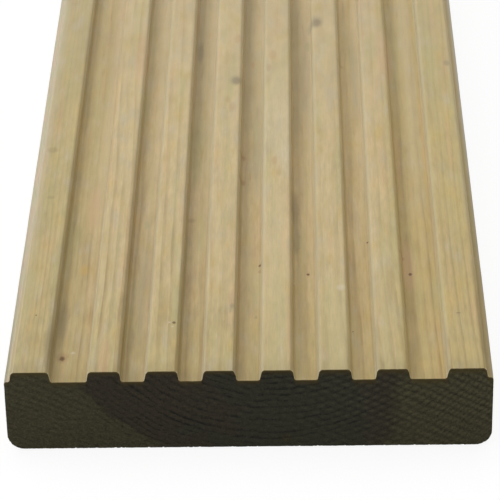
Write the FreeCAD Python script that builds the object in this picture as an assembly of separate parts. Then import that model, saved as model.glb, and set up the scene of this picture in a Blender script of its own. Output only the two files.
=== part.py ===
"""Grooved softwood decking board, planed to its section from one length of timber.

The board lies flat with its grooved face up. The origin is at the middle of the underside:
+X runs across the board, +Y along the grain and +Z up, out of the grooved face.
Sizes are in millimetres and angles in degrees.
"""

import FreeCAD, Part
import math
import os

from FreeCAD import Vector

# The planed blank
board_length = 1800.0
board_width = 144.0
board_thickness = 27.0

# The grooved face, with widths taken across the top, where each wall would meet it unrounded
groove_depth = 3.5
wall_draft = 10.0
inner_ridge_width = 9.1
inner_groove_width = 7.9
outer_groove_width = 11.8
narrowest_outer_ridge = 8.0

# The rebate that leaves a low shoulder along both upper edges
shoulder_width = 2.2
shoulder_depth = 3.2

# The rounded arrises, named for the corner that each one rounds
ridge_radius = 1.0
root_radius = 0.6
shoulder_radius = 0.8
underside_radius = 5.0


def ridge_spans():
    """Left and right edge of every ridge at the top of the board, from -X to +X.

    There are as many inner grooves as leave the outer ridges wide enough, and the outer
    ridges take up the width that is left over.
    """
    pitch = inner_ridge_width + inner_groove_width
    beside = shoulder_width + narrowest_outer_ridge + outer_groove_width
    inner_room = board_width - 2 * beside
    inner_grooves = math.floor((inner_room - inner_ridge_width) / pitch)
    inner_start = -(inner_grooves * pitch + inner_ridge_width) / 2
    spans = []
    for number in range(inner_grooves + 1):
        left = inner_start + number * pitch
        spans.append((left, left + inner_ridge_width))
    outer_left = -board_width / 2 + shoulder_width
    outer_right = inner_start - outer_groove_width
    return [(outer_left, outer_right)] + spans + [(-outer_right, -outer_left)]


def section_corners():
    """Corners of the section as (x, z, radius), once round it from the underside's left end."""
    side = board_width / 2
    top = board_thickness
    floor = top - groove_depth
    shoulder = top - shoulder_depth
    lean = math.tan(math.radians(wall_draft))
    groove_run = groove_depth * lean
    shoulder_run = shoulder_depth * lean
    spans = ridge_spans()

    corners = [(-side, 0.0, underside_radius), (-side, shoulder, shoulder_radius)]
    for number, (left, right) in enumerate(spans):
        first, last = number == 0, number == len(spans) - 1
        left_run, left_foot = (shoulder_run, shoulder) if first else (groove_run, floor)
        right_run, right_foot = (shoulder_run, shoulder) if last else (groove_run, floor)
        corners.append((left - left_run, left_foot, root_radius))
        corners.append((left, top, ridge_radius))
        corners.append((right, top, ridge_radius))
        corners.append((right + right_run, right_foot, root_radius))
    corners += [(side, shoulder, shoulder_radius), (side, 0.0, underside_radius)]
    return corners


def rounded_wire(corners):
    """A closed wire in the XZ plane through the corners, each one rounded by a tangent arc.

    An arc takes at most half of the shorter run beside its corner.
    """
    arcs = []
    for number, (x, z, radius) in enumerate(corners):
        here = Vector(x, 0, z)
        before_x, before_z, _ = corners[number - 1]
        after_x, after_z, _ = corners[(number + 1) % len(corners)]
        back = Vector(before_x, 0, before_z) - here
        ahead = Vector(after_x, 0, after_z) - here
        half_corner = back.getAngle(ahead) / 2
        setback = min(radius / math.tan(half_corner), back.Length / 2, ahead.Length / 2)
        back.normalize()
        ahead.normalize()
        bisector = (back + ahead).normalize()
        crown = setback / math.cos(half_corner) * (1 - math.sin(half_corner))
        arcs.append((here + back * setback, here + bisector * crown, here + ahead * setback))

    edges = []
    for number, (start, middle, end) in enumerate(arcs):
        edges.append(Part.Arc(start, middle, end).toShape())
        next_start = arcs[(number + 1) % len(arcs)][0]
        edges.append(Part.LineSegment(end, next_start).toShape())
    return Part.Wire(edges)


def decking_board():
    """The board as one solid: its section run along the grain between two square saw cuts."""
    section = Part.Face(rounded_wire(section_corners()))
    section.translate(Vector(0, -board_length / 2, 0))
    return section.extrude(Vector(0, board_length, 0))


os.makedirs("parts", exist_ok=True)
board = decking_board()
board.exportStep("parts/decking_board.step")
print("valid", board.isValid(), "solids", len(board.Solids), "volume", round(board.Volume))
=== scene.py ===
"""A grooved softwood decking board, lying flat with its grooved face up on a pale studio floor.

Everything is in metres in the board's own frame: +X across it, +Y along the grain, +Z up.
"""

import math

import bpy
from mathutils import Matrix, Vector


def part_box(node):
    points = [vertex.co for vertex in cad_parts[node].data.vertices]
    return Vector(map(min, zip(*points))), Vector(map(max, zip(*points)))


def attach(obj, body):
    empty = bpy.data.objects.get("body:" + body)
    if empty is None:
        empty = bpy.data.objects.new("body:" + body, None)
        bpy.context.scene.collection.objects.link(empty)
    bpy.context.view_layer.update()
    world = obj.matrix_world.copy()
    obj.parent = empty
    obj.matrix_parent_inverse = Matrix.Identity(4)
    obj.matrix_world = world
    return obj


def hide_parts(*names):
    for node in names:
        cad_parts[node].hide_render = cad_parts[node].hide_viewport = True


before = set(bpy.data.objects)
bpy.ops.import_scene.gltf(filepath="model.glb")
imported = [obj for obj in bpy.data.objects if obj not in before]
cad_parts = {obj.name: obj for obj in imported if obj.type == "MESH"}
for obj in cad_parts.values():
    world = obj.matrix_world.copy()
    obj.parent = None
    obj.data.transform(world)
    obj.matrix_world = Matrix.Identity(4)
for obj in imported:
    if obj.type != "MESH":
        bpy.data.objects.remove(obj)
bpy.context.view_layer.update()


# The decking board: one length of planed softwood, pressure treated to a pale olive straw colour.
# A moulding planer cuts its grooves and rounds its arrises, and a circular saw cuts both ends square.
# Nothing is fixed to it. It lies on its flat underside.

board_low, board_high = (Vector(corner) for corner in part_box("decking_board"))
board_length = board_high.y - board_low.y
board_thickness = board_high.z - board_low.z
millimetre = 0.001


class Amount:
    """A number that varies over the board, as one output of a node. Sums with it add Math nodes."""

    def __init__(self, socket):
        self.socket = socket
        self.tree = socket.id_data

    def math(self, operation, *others):
        return math_node(self.tree, operation, self, *others)

    def __add__(self, other):
        return self.math("ADD", other)

    def __sub__(self, other):
        return self.math("SUBTRACT", other)

    def __mul__(self, other):
        return self.math("MULTIPLY", other)

    def __truediv__(self, other):
        return self.math("DIVIDE", other)

    def __pow__(self, other):
        return self.math("POWER", other)

    def __radd__(self, other):
        return self.math("ADD", other)

    def __rmul__(self, other):
        return self.math("MULTIPLY", other)

    def __rsub__(self, other):
        return math_node(self.tree, "SUBTRACT", other, self)


def plug(term, socket):
    """Feeds a socket from an amount, from another node's output or with a plain value."""
    if isinstance(term, Amount):
        term = term.socket
    if isinstance(term, bpy.types.NodeSocket):
        socket.id_data.links.new(term, socket)
    else:
        socket.default_value = term


def add_node(tree, kind, inputs, **settings):
    """A new node with its settings made and its inputs fed, by their names or their numbers."""
    node = tree.nodes.new(kind)
    for setting, value in settings.items():
        setattr(node, setting, value)
    for name, term in inputs.items():
        plug(term, node.inputs[name])
    return node


def math_node(tree, operation, *terms):
    node = add_node(tree, "ShaderNodeMath", dict(enumerate(terms)), operation=operation)
    return Amount(node.outputs[0])


def three(tree, x, y, z):
    """One vector from three amounts."""
    return add_node(tree, "ShaderNodeCombineXYZ", {0: x, 1: y, 2: z}).outputs[0]


def split(tree, vector):
    """The three amounts in a vector."""
    node = add_node(tree, "ShaderNodeSeparateXYZ", {0: vector})
    return [Amount(socket) for socket in node.outputs]


def noise(tree, x, y, z, detail=1.0):
    """Smooth noise, mostly between -1 and 1, with lumps about one unit across."""
    inputs = {"Vector": three(tree, x, y, z), "Scale": 1.0, "Detail": detail, "Roughness": 0.5}
    node = add_node(tree, "ShaderNodeTexNoise", inputs)
    return (Amount(node.outputs[0]) - 0.5) * 4.0


def chance(tree, number):
    """An even random number from 0 to 1 for each whole number."""
    node = add_node(tree, "ShaderNodeTexWhiteNoise", {"W": number}, noise_dimensions="1D")
    return Amount(node.outputs["Value"])


def ramp(amount, start, end, low=0.0, high=1.0):
    """An amount eased from low at start to high at end, and level beyond them."""
    inputs = {"Value": amount, "From Min": start, "From Max": end, "To Min": low, "To Max": high}
    node = add_node(amount.tree, "ShaderNodeMapRange", inputs, interpolation_type="SMOOTHSTEP")
    return Amount(node.outputs[0])


# How the tree grew, in millimetres: the board was sawn from below the pith, which lay above its
# grooved face.
pith_across = 7.0
pith_height = 66.0
ring_count_radius = 55.0
rings_per_millimetre = 0.46
rings_closing_up = 0.00016


def growth_ring(tree, across, along, height):
    """Growth rings counted out from the pith at a place in millimetres, along from the front end."""
    sway = noise(tree, along / 260.0, 3.7, 0.0) * 1.3
    lift = noise(tree, along / 330.0, 9.1, 0.0) * 1.5
    out_across = across - pith_across - sway
    out_height = height - pith_height - lift
    radius = (out_across * out_across + out_height * out_height) ** 0.5
    radius = radius + noise(tree, across / 20.0, along / 150.0, height / 20.0) * 0.8
    radius = radius + noise(tree, across / 6.0, along / 40.0, height / 6.0) * 0.24
    out = radius - ring_count_radius
    return out * rings_per_millimetre + out * out * out * rings_closing_up


def latewood(ring):
    """The dense dark wood that ends each year's ring, from 0 to 1."""
    part = ring.math("FRACT")
    return ramp(part, 0.38, 0.85) - ramp(part, 0.88, 1.0)


# The saw cut: straight tooth marks that slope down to the right across the end, closest together on
# the left.
saw_mark_slope = math.radians(26.5)
saw_marks_per_millimetre = 0.39
saw_marks_closing_up = 0.000027
saw_marks_widest = 24.0


def saw_mark(tree, across, height):
    """The saw's tooth marks on the ends, from 0 to 1."""
    travel = across * math.sin(saw_mark_slope) + height * math.cos(saw_mark_slope)
    travel = travel + noise(tree, across / 16.0, height / 7.0, 5.0, detail=2.0) * 0.45 - saw_marks_widest
    count = travel * saw_marks_per_millimetre + travel * travel * travel * saw_marks_closing_up
    wave = (count * (2.0 * math.pi)).math("SINE")
    return (wave * 0.5 + 0.5) ** 0.7


def place_in_millimetres(tree, vector):
    """A place's distance across from the middle, along from the front end and up from the underside."""
    across, along, height = split(tree, vector)
    return across / millimetre, (along - board_low.y) / millimetre, height / millimetre


# The planed section comes from the board's own outline, so that every column of faces lies on it.
widest_column = 0.00062
sharpest_turn = math.radians(17.0)


def end_outline():
    """The front end's outline as points in section, (x, z): the upper side, then the lower side."""
    corners = set()
    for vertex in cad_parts["decking_board"].data.vertices:
        if abs(vertex.co.y - board_low.y) < 0.01 * millimetre:
            corners.add((round(vertex.co.x, 7), round(vertex.co.z, 7)))
    middle = board_thickness / 2
    upper = sorted(corner for corner in corners if corner[1] > middle)
    lower = sorted(corner for corner in corners if corner[1] <= middle)
    return [Vector(point) for point in upper], [Vector(point) for point in lower]


def columns_along(points):
    """Points along an outline, closer together where it turns."""
    columns = [points[0]]
    heading = points[1] - points[0]
    for here, ahead in zip(points[1:-1], points[2:]):
        steps = math.ceil((here - columns[-1]).length / widest_column)
        turned = heading.angle(ahead - here)
        if turned < sharpest_turn and (ahead - columns[-1]).length < widest_column:
            continue
        start = columns[-1]
        columns += [start.lerp(here, step / steps) for step in range(1, steps + 1)]
        heading = ahead - here
    columns.append(points[-1])
    return columns


def spaced_along(points, count):
    """A number of points at equal distances along an outline."""
    reached = [0.0]
    for here, ahead in zip(points, points[1:]):
        reached.append(reached[-1] + (ahead - here).length)
    spaced = []
    span = 0
    for number in range(count):
        distance = reached[-1] * number / (count - 1)
        while span < len(points) - 2 and reached[span + 1] < distance:
            span += 1
        share = (distance - reached[span]) / (reached[span + 1] - reached[span])
        spaced.append(points[span].lerp(points[span + 1], share))
    return spaced


upper_outline, lower_outline = end_outline()
upper_columns = columns_along(upper_outline)
lower_columns = spaced_along(lower_outline, len(upper_columns))
section = bpy.data.meshes.new("board_section")
section.from_pydata([(x, 0.0, z) for x, z in upper_columns + lower_columns], [], [])
board = bpy.data.objects.new("grooved_board", section)
bpy.context.scene.collection.objects.link(board)

# Where each side lies on the board's map, by the way it faces: its first corner, then its size.
map_patches = {
    (0, 0, 1): ((0.005, 0.155), (0.575, 0.840)),
    (0, 0, -1): ((0.590, 0.155), (0.270, 0.840)),
    (-1, 0, 0): ((0.870, 0.155), (0.055, 0.840)),
    (1, 0, 0): ((0.935, 0.155), (0.055, 0.840)),
    (0, -1, 0): ((0.005, 0.005), (0.700, 0.140)),
    (0, 1, 0): ((0.715, 0.005), (0.275, 0.140)),
}
sawn_edge_angle = math.radians(50.0)


def board_tree():
    """Geometry nodes that run the section along the board, raise its grain and cut its ends."""
    tree = bpy.data.node_groups.new("grooved board", "GeometryNodeTree")
    sizes = {
        "Section": "NodeSocketGeometry",
        "Length": "NodeSocketFloat",
        "Rows": "NodeSocketInt",
        "Levels": "NodeSocketInt",
        "Even Rows": "NodeSocketFloat",
        "Grain Relief": "NodeSocketFloat",
        "Saw Relief": "NodeSocketFloat",
        "Arris Wear": "NodeSocketFloat",
        "Torn Edge": "NodeSocketFloat",
        "Seed": "NodeSocketFloat",
        "Planed Finish": "NodeSocketMaterial",
        "Sawn Finish": "NodeSocketMaterial",
    }
    for name, kind in sizes.items():
        tree.interface.new_socket(name, in_out="INPUT", socket_type=kind)
    tree.interface.new_socket("Board", in_out="OUTPUT", socket_type="NodeSocketGeometry")
    given = tree.nodes.new("NodeGroupInput").outputs
    result = tree.nodes.new("NodeGroupOutput").inputs

    # A block of faces, with as many columns as the section has points on each side
    counted = add_node(tree, "GeometryNodeAttributeDomainSize", {"Geometry": given["Section"]})
    columns = Amount(counted.outputs["Point Count"]) / 2
    block_sizes = {"Vertices X": columns, "Vertices Y": given["Rows"], "Vertices Z": given["Levels"]}
    block = add_node(tree, "GeometryNodeMeshCube", {"Size": (1.0, 1.0, 1.0), **block_sizes})
    position = tree.nodes.new("GeometryNodeInputPosition").outputs[0]
    normal = tree.nodes.new("GeometryNodeInputNormal").outputs[0]
    kept = add_node(tree, "GeometryNodeCaptureAttribute", {"Geometry": block.outputs["Mesh"]})
    kept.capture_items.new("VECTOR", "Place in Block")
    plug(position, kept.inputs["Place in Block"])
    facing = add_node(tree, "GeometryNodeCaptureAttribute", {"Geometry": kept.outputs["Geometry"]})
    facing.domain = "FACE"
    facing.capture_items.new("VECTOR", "Facing")
    plug(normal, facing.inputs["Facing"])
    across, along, up = (part + 0.5 for part in split(tree, kept.outputs["Place in Block"]))

    # The section run along the board, with the rows closest together at the front end
    column = (across * (columns - 1)).math("ROUND")
    points = {"Geometry": given["Section"], "Value": position}
    outline = []
    for first in (columns, 0):
        sampled = add_node(tree, "GeometryNodeSampleIndex", points, data_type="FLOAT_VECTOR")
        plug(column + first, sampled.inputs["Index"])
        outline.append(split(tree, sampled.outputs[0]))
    (low_x, _, low_z), (high_x, _, high_z) = outline
    even = Amount(given["Even Rows"])
    run = along * even + (along ** 3.0) * (1.0 - even)
    x = low_x + (high_x - low_x) * up
    y = (run - 0.5) * Amount(given["Length"])
    z = low_z + (high_z - low_z) * up
    shaped = add_node(tree, "GeometryNodeSetPosition", {"Geometry": facing.outputs["Geometry"]})
    plug(three(tree, x, y, z), shaped.inputs["Position"])

    # Kept for the finishes: which way the planed section faces at each point, leaving out the ends, and
    # how far the point is below the grooved face
    place = place_in_millimetres(tree, position)
    normal_across, normal_along, normal_up = split(tree, normal)
    in_section = three(tree, normal_across, 0.0, normal_up)
    flat = add_node(tree, "ShaderNodeVectorMath", {0: in_section}, operation="NORMALIZE")
    worked = shaped
    kept_values = {
        "Planed Facing": ("FLOAT_VECTOR", flat.outputs[0]),
        "Below Face": ("FLOAT", high_z - z),
    }
    for name, (kind, value) in kept_values.items():
        inputs = {"Geometry": worked.outputs[0], "Name": name, "Value": value}
        settings = {"data_type": kind, "domain": "POINT"}
        worked = add_node(tree, "GeometryNodeStoreNamedAttribute", inputs, **settings)
    facing_up = split(tree, flat.outputs[0])[2]
    on_arris = ramp(facing_up, 0.22, 0.5) * ramp(facing_up, 0.995, 0.94) * ramp(place[2], 24.6, 25.4)

    # Fine relief, cut into the board along its normals
    seed = Amount(given["Seed"])
    spring = 1.0 - latewood(growth_ring(tree, *place))
    facing_end = normal_along.math("ABSOLUTE")
    on_end = ramp(facing_end, 0.6, 0.9)
    dents = noise(tree, place[0] / 6.0, place[1] / 14.0, seed, detail=3.0)
    worn = on_arris * ramp(dents, -1.2, 1.2, low=0.45)
    teeth = saw_mark(tree, place[0], place[2])
    end_rim = ramp(facing_end, 0.45, 0.60) * ramp(facing_end, 0.92, 0.80)
    torn = end_rim * ramp(noise(tree, place[0] / 0.9, place[2] / 6.0, seed + 4.0, detail=2.0), 0.1, 1.3)
    cut = spring * Amount(given["Grain Relief"]) * (1.0 - on_end)
    cut = cut + worn * Amount(given["Arris Wear"]) + teeth * on_end * Amount(given["Saw Relief"])
    cut = cut + torn * Amount(given["Torn Edge"])
    inward = add_node(tree, "ShaderNodeVectorMath", {0: normal, "Scale": cut * -1.0}, operation="SCALE")
    relief = add_node(tree, "GeometryNodeSetPosition", {"Geometry": worked.outputs[0]})
    plug(inward.outputs[0], relief.inputs["Offset"])

    # Rounded all over, apart from the sawn edges of the ends
    smooth = add_node(tree, "GeometryNodeSetShadeSmooth", {0: relief.outputs[0]})
    edge_angle = tree.nodes.new("GeometryNodeInputMeshEdgeAngle").outputs[0]
    sawn_edge = math_node(tree, "GREATER_THAN", Amount(edge_angle), sawn_edge_angle)
    sharp = add_node(tree, "GeometryNodeSetShadeSmooth", {0: smooth.outputs[0]}, domain="EDGE")
    plug(sawn_edge, sharp.inputs["Selection"])
    sharp.inputs["Shade Smooth"].default_value = False

    # The map that the finish is kept on, with a patch for each side
    faces = split(tree, facing.outputs["Facing"])
    map_u = 0.0
    map_v = 0.0
    for side, (corner, size) in map_patches.items():
        axis = [abs(part) for part in side].index(1)
        here = math_node(tree, "GREATER_THAN", faces[axis] * side[axis], 0.5)
        share_u = up if axis == 0 else across
        share_v = up if axis == 1 else along
        map_u = here * (share_u * size[0] + corner[0]) + map_u
        map_v = here * (share_v * size[1] + corner[1]) + map_v
    mapped = add_node(
        tree,
        "GeometryNodeStoreNamedAttribute",
        {"Geometry": sharp.outputs[0], "Name": "OFBake", "Value": three(tree, map_u, map_v, 0.0)},
        data_type="FLOAT2",
        domain="CORNER",
    )

    # The two finishes: planed all round, and sawn on the ends
    realized = add_node(tree, "GeometryNodeRealizeInstances", {0: mapped.outputs[0]})
    planed = add_node(tree, "GeometryNodeSetMaterial", {"Geometry": realized.outputs[0]})
    plug(given["Planed Finish"], planed.inputs["Material"])
    sawn = add_node(tree, "GeometryNodeSetMaterial", {"Geometry": planed.outputs[0]})
    plug(given["Sawn Finish"], sawn.inputs["Material"])
    plug(math_node(tree, "GREATER_THAN", faces[1].math("ABSOLUTE"), 0.5), sawn.inputs["Selection"])
    plug(sawn.outputs[0], result["Board"])
    return tree


def colour(red, green, blue):
    """A paint-chart colour, 0 to 255, as the linear colour that a shader takes."""
    linear = []
    for level in (red, green, blue):
        share = level / 255
        linear.append(share / 12.92 if share <= 0.04045 else ((share + 0.055) / 1.055) ** 2.4)
    return (*linear, 1.0)


def mixed(tree, share, first, second):
    """Two colours mixed, from all of the first at 0 to all of the second at 1."""
    node = add_node(tree, "ShaderNodeMix", {0: share, 6: first, 7: second}, data_type="RGBA")
    return node.outputs[2]


def shaded(tree, tone, amount):
    """A colour made lighter or darker by an amount, where 1 leaves it alone."""
    node = add_node(tree, "ShaderNodeVectorMath", {0: tone, "Scale": amount}, operation="SCALE")
    return node.outputs[0]


def new_finish(name):
    """An empty wood finish, with its shader and the place on the board in millimetres."""
    material = bpy.data.materials.new(name)
    material.use_nodes = True
    tree = material.node_tree
    coordinates = tree.nodes.new("ShaderNodeTexCoord").outputs["Object"]
    return material, tree, tree.nodes["Principled BSDF"], place_in_millimetres(tree, coordinates)


# The treatment soaked right through the sapwood at both edges, and less deep into the heartwood between
# them.
heart_height = 37.0
heart_radius = 48.5
heart_shift_below = -6.5
heart_shift_above = 3.6


def heartwood(tree, across, height):
    """1 in the heartwood and 0 in the sapwood around it."""
    below = height - heart_height
    level = across + ramp(height, -2.0, 24.0, low=heart_shift_below, high=heart_shift_above)
    radius = (level * level + below * below) ** 0.5
    radius = radius + noise(tree, across / 5.0, height / 5.0, 2.0, detail=3.0) * 1.6
    blur = ramp(across, -20.0, 40.0, low=1.6, high=3.6)
    return ramp(radius - heart_radius, blur, blur * -1.0)


# Each mark is solid out to this share of its half width, and fades out from there.
solid_core = 0.3


def spots(tree, across, along, places, stretch):
    """A number from 0 to 1 that is 1 on each of the places, which are stretched along the grain."""
    here = three(tree, across, along / stretch, 0.0)
    total = 0.0
    for place_across, place_along, half_width in places:
        centre = (place_across, place_along / stretch, 0.0)
        apart = add_node(tree, "ShaderNodeVectorMath", {0: here, 1: centre}, operation="DISTANCE")
        total = ramp(Amount(apart.outputs["Value"]), half_width, half_width * solid_core) + total
    return total


# Strewn specks lie in cells of this size in millimetres, and this share of the cells is empty. A speck's
# half width is a share of its cell: the smallest, and up to the spread more.
speck_cell_width = 24.0
speck_cell_length = 36.0
empty_cells = 0.70
smallest_speck = 0.014
speck_spread = 0.02


def strewn_specks(tree, across, along):
    """Small specks strewn at random: 1 on each of them and 0 between them."""
    in_cells = three(tree, across / speck_cell_width, along / speck_cell_length, 0.0)
    inputs = {"Vector": in_cells, "Scale": 1.0}
    cells = add_node(tree, "ShaderNodeTexVoronoi", inputs, voronoi_dimensions="2D")
    drawn, size, _ = split(tree, cells.outputs["Color"])
    apart = Amount(cells.outputs["Distance"]) / (size * speck_spread + smallest_speck)
    return ramp(apart, 1.0, solid_core) * math_node(tree, "GREATER_THAN", drawn, empty_cells)


# Marks on the grooved face by kind, stretched along the grain. Each place is a distance across and
# along in millimetres, with a half width.
marks = {
    "pale streaks": {
        "stretch": 18.0,
        "share": 0.24,
        "tone": colour(206, 193, 148),
        "places": [
            (8.5, 30.0, 6.0),
            (26.0, 5.0, 4.0),
            (28.4, 24.0, 2.4),
            (42.0, 12.0, 4.5),
            (-50.4, 132.0, 3.8),
            (14.9, 12.0, 2.2),
            (31.8, 10.0, 2.2),
            (-22.7, 63.0, 1.4),
            (-27.8, 77.0, 1.0),
        ],
    },
    "grey streaks": {
        "stretch": 20.0,
        "share": 0.30,
        "tone": colour(148, 142, 120),
        "places": [(-32.6, 55.0, 2.7), (18.4, 195.0, 2.4), (35.6, 195.0, 2.2), (1.6, 140.0, 2.2)],
    },
    "rosy streaks": {
        "stretch": 7.0,
        "share": 0.34,
        "tone": colour(208, 166, 132),
        "places": [
            (46.0, 205.0, 4.0),
            (-39.6, 206.0, 4.0),
            (49.5, 64.0, 3.0),
            (-51.0, 103.0, 3.0),
            (-42.6, 7.0, 2.5),
        ],
    },
    "green streaks": {
        "stretch": 7.0,
        "share": 0.30,
        "tone": colour(176, 172, 122),
        "places": [
            (1.6, 55.0, 3.0),
            (-67.5, 47.0, 3.0),
            (-16.4, 86.0, 3.0),
            (57.8, 48.0, 3.0),
            (1.2, 156.0, 1.8),
        ],
    },
    "tan streaks": {
        "stretch": 12.0,
        "share": 0.34,
        "tone": colour(150, 126, 82),
        "places": [(42.9, 48.0, 1.7), (-25.8, 34.0, 1.9), (-6.9, 29.0, 0.9), (-35.1, 22.0, 1.0)],
    },
    "olive shadows": {
        "stretch": 8.0,
        "share": 0.42,
        "tone": colour(118, 106, 78),
        "places": [
            (14.2, 99.0, 2.0),
            (14.6, 80.0, 1.6),
            (-19.0, 215.0, 1.5),
            (-56.8, 34.0, 2.4),
            (-59.7, 16.0, 2.2),
        ],
    },
    "brown stains": {
        "stretch": 1.6,
        "share": 0.40,
        "tone": colour(146, 108, 72),
        "places": [
            (-55.5, 13.5, 2.6),
            (47.5, 69.0, 1.2),
            (3.0, 62.0, 0.8),
            (-3.0, 119.0, 1.5),
            (-3.0, 136.0, 1.4),
        ],
    },
    "brown trails": {
        "stretch": 3.0,
        "share": 0.26,
        "tone": colour(168, 122, 88),
        "places": [
            (-8.5, 172.0, 1.3),
            (-7.0, 167.0, 1.6),
            (-5.7, 219.0, 1.8),
            (5.5, 196.0, 1.3),
            (6.9, 206.0, 1.8),
            (7.5, 128.0, 1.4),
            (9.0, 120.0, 1.2),
            (-0.2, 205.0, 1.2),
        ],
    },
    "yellow stains": {
        "stretch": 2.5,
        "share": 0.45,
        "tone": colour(196, 160, 84),
        "places": [(-52.0, 64.0, 1.9)],
    },
    "green smears": {
        "stretch": 3.5,
        "share": 0.35,
        "tone": colour(150, 152, 112),
        "places": [(19.3, 219.0, 1.4), (-33.5, 92.0, 1.2), (-5.5, 34.5, 0.8)],
    },
    "grey smudges": {
        "stretch": 1.9,
        "share": 0.36,
        "tone": colour(122, 116, 102),
        "places": [
            (22.2, 232.0, 3.8),
            (-6.0, 186.5, 2.8),
            (-5.2, 36.5, 1.0),
            (2.0, 35.0, 0.7),
            (68.0, 198.0, 1.6),
        ],
    },
    "knots": {
        "stretch": 1.9,
        "share": 0.36,
        "tone": colour(100, 90, 76),
        "places": [(22.6, 231.5, 2.3), (-5.8, 186.3, 2.0)],
    },
    "pale flecks": {
        "stretch": 1.2,
        "share": 0.44,
        "tone": colour(216, 208, 184),
        "places": [
            (-52.5, 16.0, 0.9),
            (-24.0, 27.2, 0.7),
            (-23.0, 25.0, 0.6),
            (13.5, 54.5, 0.6),
            (28.0, 46.5, 2.0),
        ],
    },
    "brown specks": {
        "stretch": 1.5,
        "share": 0.88,
        "tone": colour(88, 56, 30),
        "places": [
            (-55.6, 12.9, 1.15),
            (-22.6, 27.1, 0.72),
            (3.1, 65.7, 0.75),
            (18.1, 60.1, 0.72),
            (49.9, 59.6, 0.75),
            (31.3, 26.4, 0.35),
            (-64.5, 32.0, 0.35),
            (37.0, 79.4, 0.45),
        ],
    },
    "scratches": {
        "stretch": 0.35,
        "share": 0.60,
        "tone": colour(92, 74, 48),
        "places": [(63.4, 30.9, 1.1)],
    },
    "broad smudges": {
        "stretch": 1.0,
        "share": 0.28,
        "tone": colour(128, 112, 72),
        "places": [(-66.6, 137.0, 2.8), (30.7, 202.4, 1.5), (-65.0, 104.7, 1.8), (-19.2, 94.5, 2.0)],
    },
}

# Colours of the planed wood: its own first, then those of its grooves, ridge sides and shoulders, some of
# them painted light and shade.
planed_tones = {
    "sapwood": colour(188, 170, 122),
    "heartwood": colour(199, 179, 136),
    "rosy wood": colour(203, 169, 128),
    "green wood": colour(179, 171, 121),
    "yellow wood": colour(194, 168, 106),
    "grey wood": colour(191, 179, 150),
    "yellow side": colour(196, 172, 104),
    "weathered wood": colour(190, 178, 152),
    "pale ring": colour(205, 192, 158),
    "latewood": colour(150, 126, 80),
    "left floor": colour(160, 134, 90),
    "right floor": colour(192, 161, 100),
    "dirt": colour(148, 117, 76),
    "painted floor shadow": colour(126, 116, 88),
    "painted floor light": colour(200, 188, 158),
    "painted wall highlight": colour(202, 194, 164),
    "painted arris highlight": colour(210, 199, 166),
    "painted shade on the left": colour(140, 120, 74),
    "painted shade on the right": colour(158, 136, 82),
    "groove root": colour(138, 124, 96),
    "wall front": colour(208, 198, 170),
    "green shoulder": colour(194, 195, 174),
    "rosy shoulder": colour(211, 192, 180),
    "left rim shade": colour(146, 140, 116),
    "right shoulder shade": colour(140, 120, 74),
    "right rim": colour(196, 196, 188),
    "pale last arris": colour(198, 182, 146),
    "last arris shade": colour(126, 108, 60),
}
planed_roughness = 0.70
planed_gloss = 0.3


def calm_stretch(along):
    """1 on the stretch of the board where the fibres hardly show, and 0 before and after it."""
    return ramp(along, 110.0, 220.0) * ramp(along, 420.0, 270.0)


def planed_grain(tree, across, along, height):
    """Growth rings on the planed sides, how much of their latewood shows, and the fibres and flecks."""
    ring = growth_ring(tree, across, along, height)
    off_middle = across.math("ABSOLUTE")
    off_pith = (across - pith_across).math("ABSOLUTE")
    strength = ramp(off_pith, 5.0, 16.0, low=0.30, high=1.45)
    strength = strength * ramp(off_middle, 56.0, 61.0, low=1.0, high=0.62)
    broken = ramp(noise(tree, across / 2.2, along / 30.0, 35.0, detail=2.0), -0.8, 0.8, low=0.25)
    broken = broken.math("MAXIMUM", ramp(off_middle, 56.0, 61.0, high=0.85))
    faint_stretch = ramp(along, 50.0, 120.0) * ramp(along, 420.0, 270.0)
    shown = 1.0 - faint_stretch * 0.45 - calm_stretch(along) * 0.20
    dense = latewood(ring) * (chance(tree, ring.math("FLOOR") + 11.0) * 0.7 + 0.3)
    dense = dense * strength * broken * shown
    fibres = noise(tree, across / 0.55, along / 26.0, height / 0.55, detail=3.0)
    flecks = noise(tree, across / 0.30, along / 4.5, height / 0.30, detail=1.0)
    return ring, dense, fibres, flecks


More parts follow.
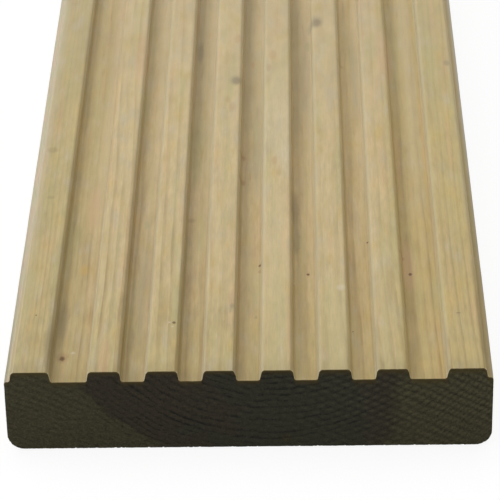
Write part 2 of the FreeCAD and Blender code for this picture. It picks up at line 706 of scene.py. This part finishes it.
def wood_tone(tree, place, ring, dense, fibres, flecks):
    """The wood's own tone: tinted in streaks, with dark latewood and lighter and darker fibres."""
    across, along, height = place
    tones = planed_tones
    hues = noise(tree, ring * 0.75, along / 130.0, 2.0, detail=2.0)
    patches = noise(tree, across / 2.4, along / 55.0, height / 4.0 + 8.0, detail=2.0)
    warmth = noise(tree, across / 4.5, along / 20.0, height / 4.0 + 31.0, detail=1.0)
    rosiness = noise(tree, across / 5.0, along / 90.0, 51.0, detail=1.0)
    tint = hues * 0.7 + patches * 0.5 + warmth * 0.4 + rosiness * 0.6
    yellows = noise(tree, across / 3.6, along / 14.0, height / 4.0 + 21.0, detail=1.5)

    heart = heartwood(tree, across, height) * ramp(along, 6.0, 70.0)
    tone = mixed(tree, heart, tones["sapwood"], tones["heartwood"])
    tone = mixed(tree, ramp(tint, 0.0, 1.3) * 0.60, tone, tones["rosy wood"])
    tone = mixed(tree, ramp(tint, 0.0, -1.3) * 0.60, tone, tones["green wood"])
    tone = mixed(tree, ramp(yellows, 0.1, 1.2) * 0.60, tone, tones["yellow wood"])
    tone = mixed(tree, ramp(yellows, -0.1, -1.2) * 0.60, tone, tones["grey wood"])
    yellow_side = ramp(across, 25.0, 60.0) * ramp(along, 190.0, 130.0)
    tone = mixed(tree, yellow_side * 0.16, tone, tones["yellow side"])
    tone = mixed(tree, ramp(along, 140.0, 250.0) * 0.16, tone, tones["weathered wood"])

    # One pale ring ends on a slant across the fifth ridge
    fifth_ridge = ramp(across, 3.6, 4.6) * ramp(across, 13.4, 12.4)
    slanted = along + across * 3.4
    pale_ring = fifth_ridge * ramp(slanted, 153.0, 161.0) * ramp(along, 215.0, 160.0)
    tone = mixed(tree, pale_ring * 0.40, tone, tones["pale ring"])
    tone = mixed(tree, dense * 0.58, tone, tones["latewood"])

    # Fibres show most near the front end; the end itself is darker with damp, and the left edge is darker
    # with painted shade
    canals = ramp(noise(tree, across / 0.45, along / 8.0, height / 0.45 + 3.0, detail=1.0), 0.75, 1.5)
    mottle = noise(tree, across / 1.5, along / 7.0, height / 1.5 + 5.0, detail=2.0)
    blotches = noise(tree, across / 4.5, along / 13.0, height / 4.5 + 11.0, detail=2.0)
    clouds = noise(tree, across / 6.0, along / 34.0, height / 6.0, detail=2.0)
    fine_shade = fibres * 0.06 + flecks * 0.05 + canals * -0.12 + mottle * 0.06
    fine_shade = fine_shade * (1.0 - calm_stretch(along) * 0.70 + ramp(along, 75.0, 25.0) * 0.30)
    shade = fine_shade + blotches * 0.06 + clouds * 0.05
    # Damp at the front end, painted shade along the left edge, and a slow darkening farther along
    damp_and_shade = ramp(along, 9.0, 0.0) * -0.13 + ramp(across, -54.0, -62.0) * -0.04
    damp_and_shade = damp_and_shade - ramp(along, 120.0, 220.0) * 0.025
    return shaded(tree, tone, shade + damp_and_shade + 1.01)


def on_grooved_face(height):
    """1 on the grooved face with its grooves and shoulders, and 0 on the other sides."""
    return ramp(height, 20.0, 22.0)


def near_front_end(along):
    """1 at the front end of the board, easing to 0 a hand's width along it."""
    return ramp(along, 100.0, 20.0)


def far_from_front_end(along):
    """0 for a hand's width from the front end of the board, easing to 1 farther along it."""
    return ramp(along, 70.0, 190.0)


# The inner grooves: how far apart they are, and the left edge of the first, in millimetres across.
groove_pitch = 17.0
first_groove = -37.95


def groove_tone(tree, tone, place, faces_right, faces_up):
    """Brown groove floors with dirt and painted shadow and light, and sides painted lit left, shaded
    right.
    """
    across, along, height = place
    tones = planed_tones
    on_top = on_grooved_face(height)
    inside = ramp(across.math("ABSOLUTE"), 69.9, 69.0)
    right_side = ramp(across, -20.0, 45.0)
    farther = far_from_front_end(along)

    # Floors are browner towards the left, with a painted shadow beside the ridge that shelters them
    on_floor = ramp(height, 24.6, 23.8) * ramp(faces_up, 0.5, 0.9) * on_top * inside
    brown = mixed(tree, right_side, tones["left floor"], tones["right floor"])
    tone = mixed(tree, on_floor * 0.22, tone, brown)
    dirt = ramp(noise(tree, across / 1.1, along / 15.0, 25.0, detail=3.0), 0.0, 1.4)
    tone = mixed(tree, on_floor * dirt * 0.34, tone, tones["dirt"])
    front_left = ramp(along, 12.0, 0.0) * ramp(across, 10.0, -30.0)
    tone = shaded(tree, tone, 1.0 - on_floor * front_left * 0.07)
    into_groove = ((across - first_groove) / groove_pitch).math("FRACT")
    middle_grooves = ramp((across - 2.0).math("ABSOLUTE"), 32.0, 18.0)
    # Painted shadow on the left part of the middle grooves' floors and of the last groove's floor, beside
    # the ridge
    painted_floor_shadow = on_floor * middle_grooves * ramp(along, 70.0, 180.0)
    painted_floor_shadow = painted_floor_shadow * ramp(into_groove, 0.34, 0.14, low=0.35)
    last_groove_shadow = on_floor * ramp(across, 46.0, 48.0) * ramp(into_groove, 0.40, 0.15)
    tone = mixed(tree, painted_floor_shadow * 0.30 + last_groove_shadow * 0.15, tone, tones["painted floor shadow"])
    # Painted light on the middle of the groove floors, farther along the board
    painted_floor_light = on_floor * ramp(into_groove, 0.22, 0.42) * ramp(into_groove, 0.60, 0.55)
    tone = mixed(tree, painted_floor_light * ramp(along, 70.0, 140.0) * 0.28, tone, tones["painted floor light"])

    # Sides that face left carry a painted highlight, less so far along and on the second ridge
    fading = ramp(across.math("ABSOLUTE"), 12.0, 17.0) * ramp(across, 54.0, 50.0)
    second_ridge = ramp(across, -40.0, -44.0) * ramp(across, -52.0, -48.5)
    wall_highlight_share = 1.0 - fading * ramp(along, 150.0, 240.0) * 0.55
    wall_highlight_share = wall_highlight_share * (1.0 - second_ridge * ramp(along, 90.0, 160.0) * 0.80)
    left_wall = ramp(faces_right, -0.45, -0.85) * on_top * wall_highlight_share
    left_wall = left_wall * (1.0 - ramp(across, -69.0, -69.6) * near_front_end(along) * 0.80)
    tone = mixed(tree, left_wall * 0.45, tone, tones["painted wall highlight"])
    left_arris = ramp(faces_right, -0.06, -0.35) * ramp(faces_right, -0.85, -0.5)
    left_arris = left_arris * ramp(height, 25.2, 25.8) * wall_highlight_share * (1.0 - second_ridge)
    tone = mixed(tree, left_arris * 0.20, tone, tones["painted arris highlight"])

    # Sides that face right carry olive painted shade, and the roots of the sides that face left are darker
    right_facing_shade_tone = mixed(tree, right_side, tones["painted shade on the left"], tones["painted shade on the right"])
    right_facing_shade = ramp(faces_right, 0.10, 0.50) * inside * (1.0 - farther * 0.40)
    tone = mixed(tree, right_facing_shade * on_top * 0.50, tone, right_facing_shade_tone)
    root = ramp(faces_right, -0.04, -0.20) * ramp(faces_right, -0.95, -0.70) * ramp(height, 24.6, 24.0)
    root = root * on_top * inside * (1.0 - farther * 0.70)
    return mixed(tree, root * 0.34, tone, tones["groove root"])


def shoulder_tone(tree, tone, place):
    """Shoulders: a pale veil with painted highlight on the left, olive painted shade on the right, a rim
    on each.
    """
    across, along, height = place
    tones = planed_tones
    on_top = on_grooved_face(height)

    # The left shoulder's veil, partly a painted highlight, starts on the first ridge, and its rim of
    # painted shade is darkest near the front end
    veil_hue = ramp(noise(tree, across / 3.0, along / 12.0, 41.0, detail=2.0), -0.9, 0.9)
    veil_tone = mixed(tree, veil_hue, tones["green shoulder"], tones["rosy shoulder"])
    on_ridge = ramp(across, -66.0, -69.4) * ramp(along, 10.0, 120.0, low=0.09, high=0.26)
    on_shoulder = ramp(across + near_front_end(along) * 0.8, -69.4, -70.1)
    veil_and_highlight = on_ridge + on_shoulder * ramp(along, 10.0, 120.0, low=0.46, high=0.30)
    tone = mixed(tree, veil_and_highlight * on_top, tone, veil_tone)
    rim_share = ramp(along, 150.0, -10.0) * 0.40 + ramp(along, 50.0, 0.0) * 0.28 + 0.12
    left_rim_shade = ramp(across, -70.9, -71.4) * on_top * rim_share
    tone = mixed(tree, left_rim_shade, tone, tones["left rim shade"])

    # The right shoulder carries olive painted shade, most near the front end, and the arris beside it has
    # painted shade near the front end and is pale farther along
    right_shoulder_shade = ramp(across, 69.3, 70.4) * (1.0 - far_from_front_end(along) * 0.55)
    tone = mixed(tree, right_shoulder_shade * on_top * 0.50, tone, tones["right shoulder shade"])
    right_rim = ramp(across, 70.2, 71.9) * on_top * ramp(along, 20.0, 200.0, low=0.15, high=0.50)
    tone = mixed(tree, right_rim, tone, tones["right rim"])
    pale_arris = ramp(across, 67.8, 69.0) * ramp(across, 70.0, 69.6) * on_top * ramp(along, 60.0, 95.0)
    tone = mixed(tree, pale_arris * 0.30, tone, tones["pale last arris"])
    dark_arris_shade = ramp(across, 68.2, 69.2) * ramp(across, 70.8, 70.2) * on_top
    dark_arris_shade = dark_arris_shade * ramp(along, 60.0, 30.0) * ramp(along, 2.0, 12.0)
    return mixed(tree, dark_arris_shade * 0.35, tone, tones["last arris shade"])


# Specks strewn at random start past the marks that have places of their own, in millimetres along.
strewn_from = 245.0
strewn_fully = 260.0


def marked_tone(tree, tone, place):
    """The marks on the grooved face, with ragged edges, and the specks strewn past them."""
    across, along, height = place
    on_top = on_grooved_face(height)
    ragged_across = across + noise(tree, across / 0.8, along / 0.8, 15.0, detail=2.0) * 0.22
    ragged_along = along + noise(tree, across / 0.8, along / 0.8, 19.0, detail=2.0) * 0.35
    for mark in marks.values():
        marked = spots(tree, ragged_across, ragged_along, mark["places"], mark["stretch"])
        tone = mixed(tree, marked * on_top * mark["share"], tone, mark["tone"])
    specks = marks["brown specks"]
    strewn = strewn_specks(tree, ragged_across, ragged_along)
    strewn = strewn * ramp(along, strewn_from, strewn_fully)
    return mixed(tree, strewn * on_top * specks["share"], tone, specks["tone"])


def add_bump(tree, shader, height):
    """Fine relief on a finish, in millimetres."""
    bump = add_node(tree, "ShaderNodeBump", {"Strength": 1.0, "Distance": millimetre, "Height": height})
    plug(bump.outputs[0], shader.inputs["Normal"])


def planed_finish():
    """Planed and pressure-treated pine: straw olive, with fine rings and fibres along the board."""
    material, tree, shader, place = new_finish("planed_pine")
    along, height = place[1:]
    facing = add_node(tree, "ShaderNodeAttribute", {}, attribute_name="Planed Facing")
    faces_right, _, faces_up = split(tree, facing.outputs["Vector"])
    ring, dense, fibres, flecks = planed_grain(tree, *place)
    tone = wood_tone(tree, place, ring, dense, fibres, flecks)
    tone = groove_tone(tree, tone, place, faces_right, faces_up)
    tone = shoulder_tone(tree, tone, place)
    wall_front = ramp(faces_up, 0.85, 0.45) * ramp(along, 1.6, 0.3) * on_grooved_face(height)
    tone = mixed(tree, wall_front * 0.45, tone, planed_tones["wall front"])
    tone = marked_tone(tree, tone, place)
    plug(tone, shader.inputs["Base Color"])
    plug(dense * -0.08 + fibres * 0.04 + planed_roughness, shader.inputs["Roughness"])
    plug(planed_gloss, shader.inputs["Specular IOR Level"])
    add_bump(tree, shader, dense * 0.02 + fibres * 0.012 + flecks * 0.008)
    return material


# Colours of the sawn ends, from the damp wood to the painted highlight on the edge under the grooved face.
sawn_tones = {
    "sapwood": colour(64, 61, 43),
    "heartwood": colour(49, 48, 37),
    "brown heartwood": colour(54, 47, 37),
    "resin": colour(58, 53, 31),
    "upper rim": colour(78, 64, 29),
    "upper edge highlight": colour(112, 98, 64),
}
sawn_roughness = 0.82
sawn_gloss = 0.2
resin_spot = (11.0, 3.0, 2.6)
resin_stretch = 0.8


def sawn_finish():
    """Sawn end grain: dark and damp, with broken growth rings crossed by the saw's tooth marks."""
    material, tree, shader, (across, along, height) = new_finish("sawn_pine")
    tones = sawn_tones
    ragged = noise(tree, across / 1.4, height / 1.0, 7.0, detail=2.0)

    # Rings are clearest in the middle and upper part, and patchy
    ring = growth_ring(tree, across, along, height) + ragged * 0.09
    broken = ramp(noise(tree, across / 4.5, height / 1.3, 9.0, detail=2.0), -0.9, 0.8, low=0.30)
    dense = latewood(ring) * (chance(tree, ring.math("FLOOR")) * 0.5 + 0.5) * broken
    crisp = ramp(across, -60.0, -18.0, low=0.14, high=1.10) - ramp(across, 10.0, 60.0, high=0.72)
    worn_rings = ramp(noise(tree, across / 13.0, height / 6.0, 17.0), -0.9, 0.9, low=0.55, high=1.45)
    crisp = crisp * ramp(height, 2.0, 11.0, low=0.50) * worn_rings

    # Tooth marks are clearest towards both edges, and cross the rings in scales on the right
    teeth = saw_mark(tree, across + ragged * 0.15, height + ragged * 0.15)
    torn = ramp(noise(tree, across / 9.0, height / 6.0, 12.0, detail=2.0), -1.0, 0.8, low=0.45)
    upper = ramp(height + across * 0.05, 2.0, 14.0, low=0.55)
    tear = ramp(across, -62.0, -36.0, low=0.80, high=0.36) + ramp(across, -22.0, 45.0, high=0.50)
    tear = tear * upper * torn
    early = (ring * (2.0 * math.pi)).math("SINE") * 0.5 + 0.5
    scales = (early * teeth) ** 1.3 * ramp(across, 6.0, 30.0) * upper * torn

    # Dark heartwood with a darker border, browner on the left and at the far right
    heart = heartwood(tree, across, height)
    border = heart * (1.0 - heart) * 4.0
    stains = noise(tree, across / 12.0, height / 8.0, 4.0, detail=2.0)
    tone = mixed(tree, heart, tones["sapwood"], tones["heartwood"])
    brown = ramp(stains - across / 18.0, 0.0, 1.0).math("MAXIMUM", ramp(across, 30.0, 42.0))
    tone = mixed(tree, heart * brown * 0.65, tone, tones["brown heartwood"])
    resin = spots(tree, across, height, [resin_spot], resin_stretch)
    tone = mixed(tree, resin * 0.5, tone, tones["resin"])
    pores = noise(tree, across / 0.55, height / 0.55, 1.0, detail=2.0)
    lumps = noise(tree, across / 1.6, height / 1.1, 6.0, detail=2.0)
    grain = dense * crisp * -1.0 + (teeth - 0.5) * tear * 0.66 + scales * 0.62
    grain = grain + pores * 0.50 + lumps * 0.42 + stains * 0.04 + border * -0.14
    tone = shaded(tree, tone, (grain + 1.22).math("MAXIMUM", 0.25))

    # A brown rim follows the upper outline, with a thin painted highlight along its edge
    depth = add_node(tree, "ShaderNodeAttribute", {}, attribute_name="Below Face")
    below_face = Amount(depth.outputs["Fac"]) / millimetre
    rim_depth = ramp(across, 0.0, 40.0, low=1.9, high=2.6)
    upper_rim = ramp(below_face + ragged * 0.2, rim_depth, 0.2)
    tone = mixed(tree, upper_rim * 0.70, tone, tones["upper rim"])
    tone = mixed(tree, ramp(below_face, 0.55, 0.15) * 0.55, tone, tones["upper edge highlight"])
    plug(tone, shader.inputs["Base Color"])
    plug(pores * 0.05 + sawn_roughness, shader.inputs["Roughness"])
    plug(sawn_gloss, shader.inputs["Specular IOR Level"])
    add_bump(tree, shader, dense * 0.04 + pores * 0.04)
    return material


board_sizes = {
    "Length": board_length,
    "Rows": 82,
    "Levels": 36,
    "Even Rows": 0.12,
    "Grain Relief": 0.05 * millimetre,
    "Saw Relief": 0.10 * millimetre,
    "Arris Wear": 0.24 * millimetre,
    "Torn Edge": 0.45 * millimetre,
    "Seed": 7.0,
    "Planed Finish": planed_finish(),
    "Sawn Finish": sawn_finish(),
}
board_shape = board_tree()
planer = board.modifiers.new("grooved board", "NODES")
planer.node_group = board_shape
for item in board_shape.interface.items_tree:
    if item.name in board_sizes:
        planer[item.identifier] = board_sizes[item.name]
evaluated = board.evaluated_get(bpy.context.evaluated_depsgraph_get())
board_mesh = bpy.data.meshes.new_from_object(evaluated)
board.modifiers.remove(planer)
board.data = board_mesh
board_mesh.name = "grooved_board"

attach(board, "root")
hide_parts("decking_board")


# The studio: a pale floor that runs out of sight, a long soft lamp low on the left, a weaker one on the
# right, a wide one overhead and a little light from all round. Seen straight on, the floor and the
# background are white.

floor_size = 40.0
floor_drop = 0.0002
floor_mesh = bpy.data.meshes.new("studio_floor")
half_floor = floor_size / 2
sides = [(-1, -1), (1, -1), (1, 1), (-1, 1)]
floor_corners = [(x * half_floor, y * half_floor, -floor_drop) for x, y in sides]
floor_mesh.from_pydata(floor_corners, [], [(0, 1, 2, 3)])
floor = bpy.data.objects.new("studio_floor", floor_mesh)
bpy.context.scene.collection.objects.link(floor)


def seen_straight(tree):
    """1 for a ray that shows the surroundings, straight or in gloss, and 0 for one that lights."""
    path = tree.nodes.new("ShaderNodeLightPath").outputs
    seen = Amount(path["Is Camera Ray"]).math("MAXIMUM", Amount(path["Is Glossy Ray"]))
    return seen.math("MAXIMUM", Amount(path["Is Transmission Ray"]))


# The floor's tone, and the depth of its shadow, which is full near the board and gone far from it. The
# lamps light a white floor to the last level.
floor_tone = 0.42
shadow_depth = 0.14
shadow_full_within = 1.3
shadow_gone_beyond = 2.6
lamplit_white = 0.8


def floor_finish():
    """Pale floor, which seen straight on is white with a faint shadow round the board."""
    material = bpy.data.materials.new("studio_floor")
    material.use_nodes = True
    tree = material.node_tree
    tree.nodes.remove(tree.nodes["Principled BSDF"])
    place = tree.nodes.new("ShaderNodeTexCoord").outputs["Object"]
    apart = add_node(tree, "ShaderNodeVectorMath", {0: place}, operation="LENGTH")
    near = ramp(Amount(apart.outputs["Value"]), shadow_gone_beyond, shadow_full_within)
    lit = add_node(tree, "ShaderNodeBsdfDiffuse", {"Color": (floor_tone, floor_tone, floor_tone, 1.0)})
    shadow_tone = shaded(tree, (1.0, 1.0, 1.0), near * shadow_depth)
    shadow = add_node(tree, "ShaderNodeBsdfDiffuse", {"Color": shadow_tone})
    white_level = 1.0 - near * (shadow_depth * lamplit_white)
    white = add_node(tree, "ShaderNodeEmission", {"Strength": white_level})
    shown = add_node(tree, "ShaderNodeAddShader", {0: shadow.outputs[0], 1: white.outputs[0]})
    choices = {0: seen_straight(tree), 1: lit.outputs[0], 2: shown.outputs[0]}
    both = add_node(tree, "ShaderNodeMixShader", choices)
    plug(both.outputs[0], tree.nodes["Material Output"].inputs["Surface"])
    return material


floor_mesh.materials.append(floor_finish())

world = bpy.data.worlds.new("studio")
bpy.context.scene.world = world
world.use_nodes = True
fill_level = 0.22
world_tree = world.node_tree
backdrop = world_tree.nodes["Background"]
backdrop.inputs["Color"].default_value = (1.0, 1.0, 1.0, 1.0)
backdrop_level = seen_straight(world_tree) * (1.0 - fill_level) + fill_level
plug(backdrop_level, backdrop.inputs["Strength"])


def add_lamp(name, place, width, length, power):
    """A soft rectangular lamp that runs along the board and faces it."""
    lamp = bpy.data.lights.new(name, "AREA")
    lamp.shape = "RECTANGLE"
    lamp.size = width
    lamp.size_y = length
    lamp.energy = power
    lamp_object = bpy.data.objects.new(name, lamp)
    lamp_object.location = place
    lamp_object.rotation_euler = (0.0, math.atan2(place[0], place[2]), 0.0)
    lamp_object.visible_camera = False
    bpy.context.scene.collection.objects.link(lamp_object)


strip_length = 5.0
lamps = {
    "key_lamp": {"place": (-0.52, 0.0, 0.45), "width": 0.27, "length": strip_length, "power": 9.8},
    "fill_lamp": {"place": (0.26, 0.0, 0.17), "width": 0.10, "length": strip_length, "power": 1.25},
    "overhead_lamp": {"place": (0.0, 0.55, 2.40), "width": 2.60, "length": 3.20, "power": 36.0},
}
for name, sizes in lamps.items():
    add_lamp(name, **sizes)


# The camera: a long lens in front of the board and above it, aimed a little down along the grain.

picture_size = 500
focal_length_pixels = 2870.9
sensor_width = 36.0
camera_height_angle = math.radians(30.482)
camera_side_angle = math.radians(1.095)
camera_roll = math.radians(-1.172)
camera_from_front = Vector((0.0148, -0.7070, 0.4842))

camera_data = bpy.data.cameras.new("camera")
camera_data.sensor_width = sensor_width
camera_data.lens = focal_length_pixels / picture_size * sensor_width
camera = bpy.data.objects.new("camera", camera_data)
turned = Matrix.Rotation(camera_side_angle, 4, "Z")
tilted = Matrix.Rotation(math.pi / 2 - camera_height_angle, 4, "X")
rolled = Matrix.Rotation(camera_roll, 4, "Z")
aim = turned @ tilted @ rolled
front_foot = Vector((0.0, board_low.y, board_low.z))
camera.matrix_world = Matrix.Translation(front_foot + camera_from_front) @ aim
bpy.context.scene.collection.objects.link(camera)
bpy.context.scene.camera = camera

bpy.context.scene.view_settings.view_transform = "Standard"
